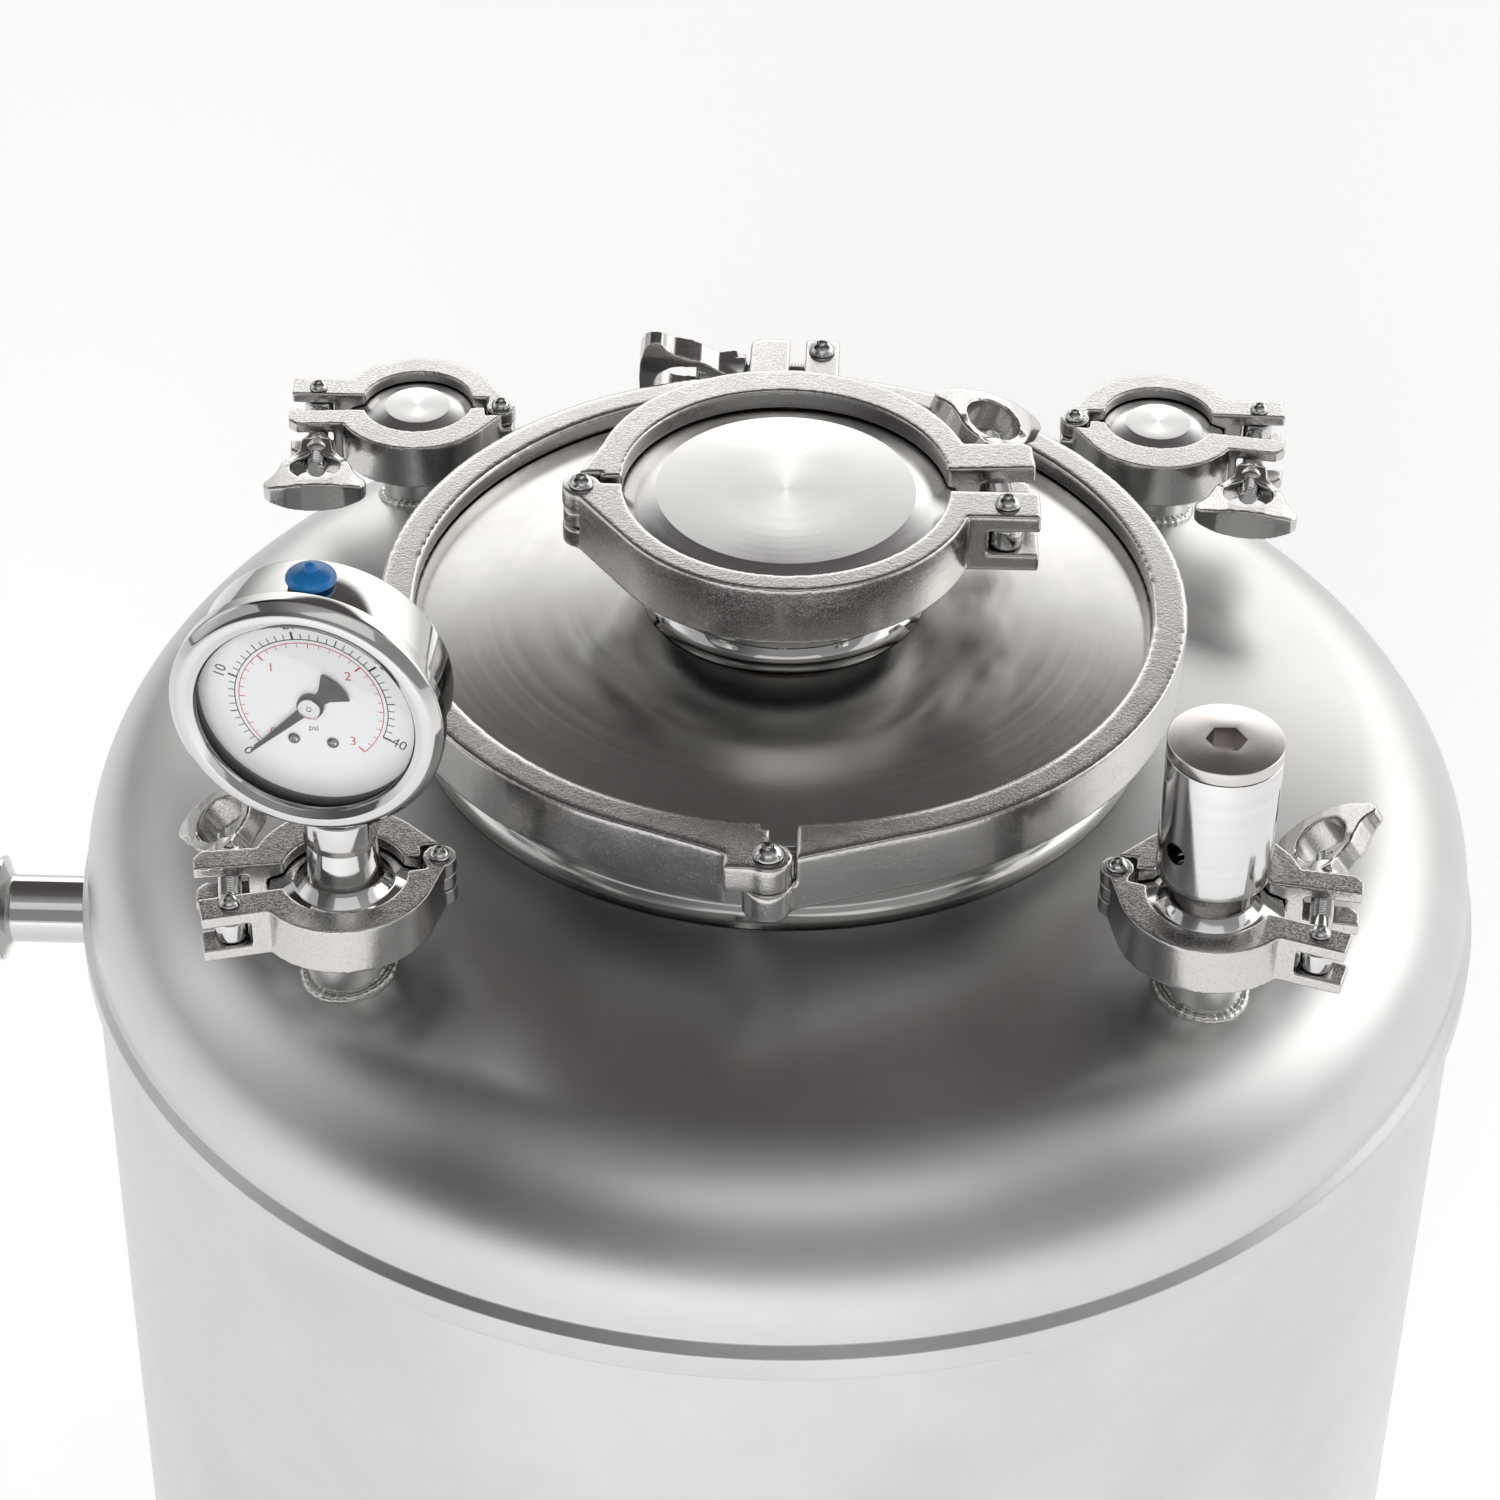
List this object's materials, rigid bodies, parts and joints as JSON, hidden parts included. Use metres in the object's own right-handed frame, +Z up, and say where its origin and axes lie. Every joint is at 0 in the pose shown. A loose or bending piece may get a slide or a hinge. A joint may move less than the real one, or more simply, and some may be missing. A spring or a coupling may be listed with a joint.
{
  "type": "resin pressure pot",
  "caption": "Stainless steel pressure pot with a clamped manhole lid, clamped gauge, relief valve and blanked ports, and a bare side port.",
  "frame": {"origin": "on the vessel's axis, on the floor under the base plate", "axes": "+Z up along the vessel's axis, -Y towards the gauge and relief valve, -X towards the side port"},
  "size_m": [0.5536, 0.5172, 0.7113],
  "materials": {
    "blasted_steel": "bead-blasted stainless steel, satin",
    "brushed_steel_turned": "turned or brushed stainless steel with fine concentric lines",
    "cast_steel": "polished stainless steel casting with a fine orange-peel skin",
    "polished_steel": "mirror polished stainless steel",
    "seal": "white seal",
    "dial_face": "white enamelled dial with black and red scales",
    "pointer": "black painted pointer",
    "gauge_glass": "clear window",
    "blue_rubber": "blue moulded rubber",
    "bronze": "bronze tube",
    "spring_steel": "drawn spring wire",
    "poppet": "white valve disc"
  },
  "bodies": {
    "vessel": {"shell": "blasted_steel", "top_head": "blasted_steel", "bottom_head": "blasted_steel", "skirt": "blasted_steel", "base_plate": "blasted_steel", "main_neck": "brushed_steel_turned", "side_port": "polished_steel", "lid": "brushed_steel_turned", "lid_neck": "polished_steel", "lid_gasket": "seal", "centre_cap": "brushed_steel_turned", "cap_gasket": "seal", "gauge_socket": "polished_steel", "gauge_case": "polished_steel", "gauge_bezel": "polished_steel", "gauge_window": "gauge_glass", "gauge_dial": "dial_face", "gauge_vent_plug": "blue_rubber", "gauge_bourdon_tube": "bronze", "relief_valve_body": "polished_steel", "relief_valve_spring": "spring_steel", "lid_clamp_pivot_half": "cast_steel", "lid_clamp_latch_half": "cast_steel", "lid_clamp_hinge_pin": "polished_steel", "cap_clamp_pivot_half": "cast_steel", "cap_clamp_latch_half": "cast_steel", "cap_clamp_hinge_pin": "polished_steel", "front_left_clamp_pivot_half": "cast_steel", "front_left_clamp_latch_half": "cast_steel", "front_left_port": "brushed_steel_turned", "front_left_gasket": "seal", "front_right_clamp_pivot_half": "cast_steel", "front_right_clamp_latch_half": "cast_steel", "front_right_port": "brushed_steel_turned", "front_right_gasket": "seal", "rear_left_clamp_pivot_half": "cast_steel", "rear_left_clamp_latch_half": "cast_steel", "rear_left_port": "brushed_steel_turned", "rear_left_gasket": "seal", "rear_left_cap": "brushed_steel_turned", "rear_right_clamp_pivot_half": "cast_steel", "rear_right_clamp_latch_half": "cast_steel", "rear_right_port": "brushed_steel_turned", "rear_right_gasket": "seal", "rear_right_cap": "brushed_steel_turned"},
    "lid_swing_bolt": {"lid_clamp_swing_bolt": "polished_steel"},
    "lid_wing_nut": {"lid_clamp_wing_nut": "cast_steel"},
    "cap_swing_bolt": {"cap_clamp_swing_bolt": "polished_steel"},
    "cap_wing_nut": {"cap_clamp_wing_nut": "cast_steel"},
    "front_left_swing_bolt": {"front_left_clamp_swing_bolt": "polished_steel"},
    "front_left_wing_nut": {"front_left_clamp_wing_nut": "cast_steel"},
    "front_right_swing_bolt": {"front_right_clamp_swing_bolt": "polished_steel"},
    "front_right_wing_nut": {"front_right_clamp_wing_nut": "cast_steel"},
    "rear_left_swing_bolt": {"rear_left_clamp_swing_bolt": "polished_steel"},
    "rear_left_wing_nut": {"rear_left_clamp_wing_nut": "cast_steel"},
    "rear_right_swing_bolt": {"rear_right_clamp_swing_bolt": "polished_steel"},
    "rear_right_wing_nut": {"rear_right_clamp_wing_nut": "cast_steel"},
    "pointer": {"gauge_pointer": "pointer"},
    "relief_adjuster": {"relief_valve_adjuster": "polished_steel"},
    "relief_poppet": {"relief_valve_poppet": "poppet"}
  },
  "joints": [
    {"name": "lid_bolt_swing", "type": "hinge", "parent": "vessel", "child": "lid_swing_bolt", "pos_m": [0.01267, 0.16077, 0.59106], "axis": [0, 0, -1], "range_deg": [0, 95]},
    {"name": "lid_nut_turn", "type": "hinge", "parent": "lid_swing_bolt", "child": "lid_wing_nut", "pos_m": [0.01267, 0.16077, 0.59106], "axis": [-0.9998, 0.0209, 0], "continuous": true},
    {"name": "cap_bolt_swing", "type": "hinge", "parent": "vessel", "child": "cap_swing_bolt", "pos_m": [0.0772, -0.0123, 0.63874], "axis": [0, 0, -1], "range_deg": [0, 95]},
    {"name": "cap_nut_turn", "type": "hinge", "parent": "cap_swing_bolt", "child": "cap_wing_nut", "pos_m": [0.0772, -0.0123, 0.63874], "axis": [-0.0732, 0.9973, 0], "continuous": true},
    {"name": "front_left_bolt_swing", "type": "hinge", "parent": "vessel", "child": "front_left_swing_bolt", "pos_m": [-0.17954, -0.16112, 0.57732], "axis": [0, 0, 1], "range_deg": [0, 95]},
    {"name": "front_left_nut_turn", "type": "hinge", "parent": "front_left_swing_bolt", "child": "front_left_wing_nut", "pos_m": [-0.17954, -0.16112, 0.57732], "axis": [-0.1392, 0.9903, 0], "continuous": true},
    {"name": "front_right_bolt_swing", "type": "hinge", "parent": "vessel", "child": "front_right_swing_bolt", "pos_m": [0.17816, -0.1637, 0.57732], "axis": [0, 0, -1], "range_deg": [0, 95]},
    {"name": "front_right_nut_turn", "type": "hinge", "parent": "front_right_swing_bolt", "child": "front_right_wing_nut", "pos_m": [0.17816, -0.1637, 0.57732], "axis": [0.1513, 0.9885, 0], "continuous": true},
    {"name": "rear_left_bolt_swing", "type": "hinge", "parent": "vessel", "child": "rear_left_swing_bolt", "pos_m": [-0.18279, 0.15154, 0.57732], "axis": [0, 0, -1], "range_deg": [0, 95]},
    {"name": "rear_left_nut_turn", "type": "hinge", "parent": "rear_left_swing_bolt", "child": "rear_left_wing_nut", "pos_m": [-0.18279, 0.15154, 0.57732], "axis": [0.0698, -0.9976, 0], "continuous": true},
    {"name": "rear_right_bolt_swing", "type": "hinge", "parent": "vessel", "child": "rear_right_swing_bolt", "pos_m": [0.183, 0.15044, 0.57732], "axis": [0, 0, 1], "range_deg": [0, 95]},
    {"name": "rear_right_nut_turn", "type": "hinge", "parent": "rear_right_swing_bolt", "child": "rear_right_wing_nut", "pos_m": [0.183, 0.15044, 0.57732], "axis": [-0.1495, -0.9888, 0], "continuous": true},
    {"name": "pointer_turn", "type": "hinge", "parent": "vessel", "child": "pointer", "pos_m": [-0.14972, -0.15056, 0.66132], "axis": [0.1564, 0.9877, 0], "range_deg": [0, 270], "stiffness_Nm_per_rad": 0.0005},
    {"name": "relief_adjust", "type": "hinge", "parent": "vessel", "child": "relief_adjuster", "pos_m": [0.14354, -0.14354, 0.63732], "axis": [0, 0, 1], "continuous": true},
    {"name": "relief_lift", "type": "slide", "parent": "vessel", "child": "relief_poppet", "axis": [0, 0, 1], "range_m": [0, 0.003], "stiffness_N_per_m": 2000, "springref_m": -0.004, "deforming": ["relief_valve_spring"]}
  ]
}
